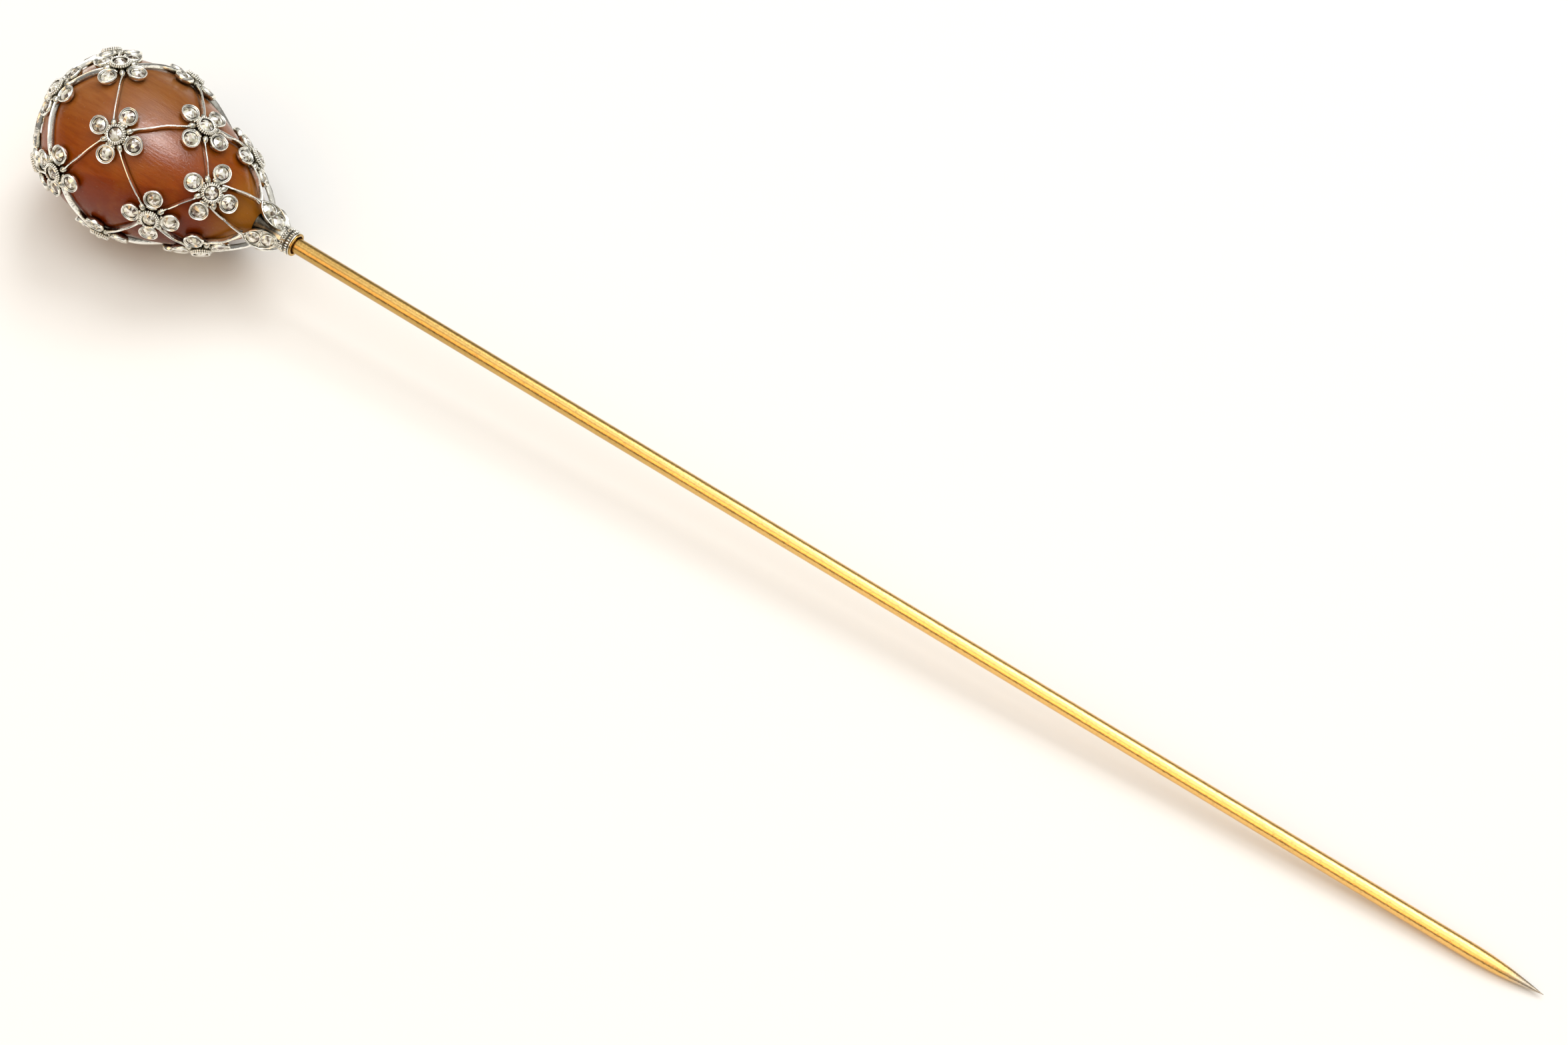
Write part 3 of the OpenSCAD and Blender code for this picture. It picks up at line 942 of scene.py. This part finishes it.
def leaf_piece(k):
    """A leaf's metal: the setting, a ring round each stone, and the grains between them."""
    shape = Shape()
    shape.add(leaf_part(), leaf_place(k))
    for x in (-LEAF_GEM_X, LEAF_GEM_X):
        shape.add(bezel(LEAF_GEM_R - 0.03), leaf_place(k) @ Matrix.Translation((x, 0, 0)))
    for x, y, size in LEAF_GRAINS:
        shape.add(bead((size, size, size), 1.0), leaf_place(k) @ Matrix.Translation((x, y, -0.08)))
    shape.roughen(size=0.8, reach=0.025)
    make_piece(f"silver_leaf_{k + 1}", shape, SILVER, f"leaf_setting_{k + 1}")


def leaf_gems_piece():
    """The eight stones of the leaves."""
    rng = random.Random(7)
    shape = Shape()
    for k in range(ROW_COUNT):
        for x in (-LEAF_GEM_X, LEAF_GEM_X):
            gem = rose_cut(rng, LEAF_GEM_R - 0.04, base=-0.2, rise=0.22, brightness=0.82)
            shape.add(gem, leaf_place(k) @ Matrix.Translation((x, 0, 0)))
    make_piece("rose_cut_leaves", shape, DIAMOND, "leaf_diamonds", smooth=False)


# ---------------------------------------------------------------- the pin

def make_head():
    """The flowers and their stones: one piece of metal a flower, and one piece of stones a row."""
    for row, letter in enumerate("abcde"):
        gems = Shape()
        for k in range(ROW_COUNT):
            rng = random.Random(10 * row + k)
            place = at_row(row, k)
            s = flower_s(row, k)
            flower_piece(f"silver_flower_{letter}{k + 1}", rng, place, s, f"flower_{letter}{k + 1}")
            flower_gems(gems, rng, place, s)
        make_piece(f"rose_cut_{letter}", gems, DIAMOND, f"diamonds_{letter}", smooth=False)
    rng = random.Random(60)
    past_dome = DOME_S + DOME_R + 0.01
    flower_piece("silver_crown_flower", rng, at_crown(), past_dome, "crown_flower")
    gems = Shape()
    flower_gems(gems, rng, at_crown(), past_dome)
    make_piece("rose_cut_crown", gems, DIAMOND, "crown_diamonds", smooth=False)


def make_wires():
    """The wires, one piece a tier."""
    make_piece("wire_tier_leaf", leaf_tier(), SILVER, "wires_leaf_a", crease=50)
    for row, pair in enumerate(("a_b", "b_c", "c_d", "d_e")):
        make_piece(f"wire_tier_{pair}", tier(row), SILVER, f"wires_{pair}", crease=50)
    make_piece("wire_tier_crown", crown_tier(), SILVER, "wires_crown", crease=50)


# ---------------------------------------------------------------- studio

# The camera's lens and sensor in millimetres, its turn and rise in degrees, and the rest in metres.
FOCAL = 115.8
SENSOR = 36.0
CAMERA_TURN = 34.22
CAMERA_RISE = 55.93
CAMERA_REACH = 0.4817
CAMERA_AIM = (0.0022, 0.0030)
CLIP_START = 0.01


def look(turn, rise):
    """Right, up and forward of a view from a turn round the vertical and a rise over the floor."""
    a, e = math.radians(turn), math.radians(rise)
    forward = Vector((-math.sin(a) * math.cos(e), math.cos(a) * math.cos(e), -math.sin(e)))
    right = forward.cross(Vector((0, 0, 1))).normalized()
    return right, right.cross(forward), forward


def make_camera():
    """The camera, which looks down on the pin with the head at the far left."""
    right, up, forward = look(CAMERA_TURN, CAMERA_RISE)
    data = bpy.data.cameras.new("camera")
    data.lens = FOCAL
    data.sensor_width = SENSOR
    data.clip_start = CLIP_START
    camera = bpy.data.objects.new("camera", data)
    place = Matrix((right, up, -forward)).transposed().to_4x4()
    place.translation = right * CAMERA_AIM[0] + up * CAMERA_AIM[1] - forward * CAMERA_REACH
    camera.matrix_world = place
    bpy.context.scene.collection.objects.link(camera)
    bpy.context.scene.camera = camera


def stone_collection():
    """The stone alone, for a light that leaves the metal and the floor as they are."""
    stone = bpy.data.collections.new("stone")
    stone.objects.link(bpy.data.objects["agate_drop"])
    return stone


def make_light(name, turn, rise, reach, size, watts, tint=(1, 1, 1), gleam_only=False):
    """A square softbox that faces the pin, with its angles in degrees, and its reach and size in metres.

    One that is gleam_only adds the stone's highlight and nothing else.
    """
    right, up, forward = look(turn, rise)
    data = bpy.data.lights.new(name, "AREA")
    data.size = size
    data.energy = watts
    data.color = tint
    light = bpy.data.objects.new(name, data)
    place = Matrix((right, up, -forward)).transposed().to_4x4()
    place.translation = -forward * reach
    light.matrix_world = place
    if gleam_only:
        light.visible_diffuse = False
        light.light_linking.receiver_collection = stone_collection()
    bpy.context.scene.collection.objects.link(light)


def make_floor():
    """The plain surface that the pin lies on."""
    reach = 2.0
    corners = [(-reach, -reach, 0), (reach, -reach, 0), (reach, reach, 0), (-reach, reach, 0)]
    mesh = bpy.data.meshes.new("floor")
    mesh.from_pydata(corners, [], [[0, 1, 2, 3]])
    mesh.materials.append(paper_material())
    floor = bpy.data.objects.new("floor", mesh)
    bpy.context.scene.collection.objects.link(floor)


def make_sky(horizon=0.14, zenith=0.82):
    """Soft light from all round, dimmest at the horizon and below it."""
    world = bpy.data.worlds.new("studio")
    world.use_nodes = True
    tree = world.node_tree
    background = tree.nodes["Background"]
    background.inputs["Color"].default_value = (1, 0.98, 0.94, 1)
    direction = tree.nodes.new("ShaderNodeTexCoord")
    height = tree.nodes.new("ShaderNodeSeparateXYZ")
    tree.links.new(direction.outputs["Generated"], height.inputs[0])
    strength = span(tree, height.outputs["Z"], 0, 1, horizon, zenith)
    tree.links.new(strength, background.inputs["Strength"])
    bpy.context.scene.world = world


def make_studio():
    """The floor, the camera, the sky and the softboxes."""
    make_floor()
    make_camera()
    make_sky()
    make_light("overhead", turn=60, rise=87, reach=0.9, size=0.8, watts=2.4)
    make_light("gleam", turn=64, rise=87, reach=0.95, size=0.36, watts=12.0, gleam_only=True)
    make_light("back", turn=188, rise=58, reach=0.8, size=0.36, watts=1.9)
    make_light("fill", turn=345, rise=38, reach=0.8, size=0.5, watts=1.5, tint=(1, 0.6, 0.26))
    bpy.context.scene.view_settings.view_transform = "Standard"


stone_piece()
stem_piece()
ferrule_piece()
collar_piece()
cup_piece()
for leaf in range(ROW_COUNT):
    leaf_piece(leaf)
leaf_gems_piece()
make_head()
make_wires()
make_studio()
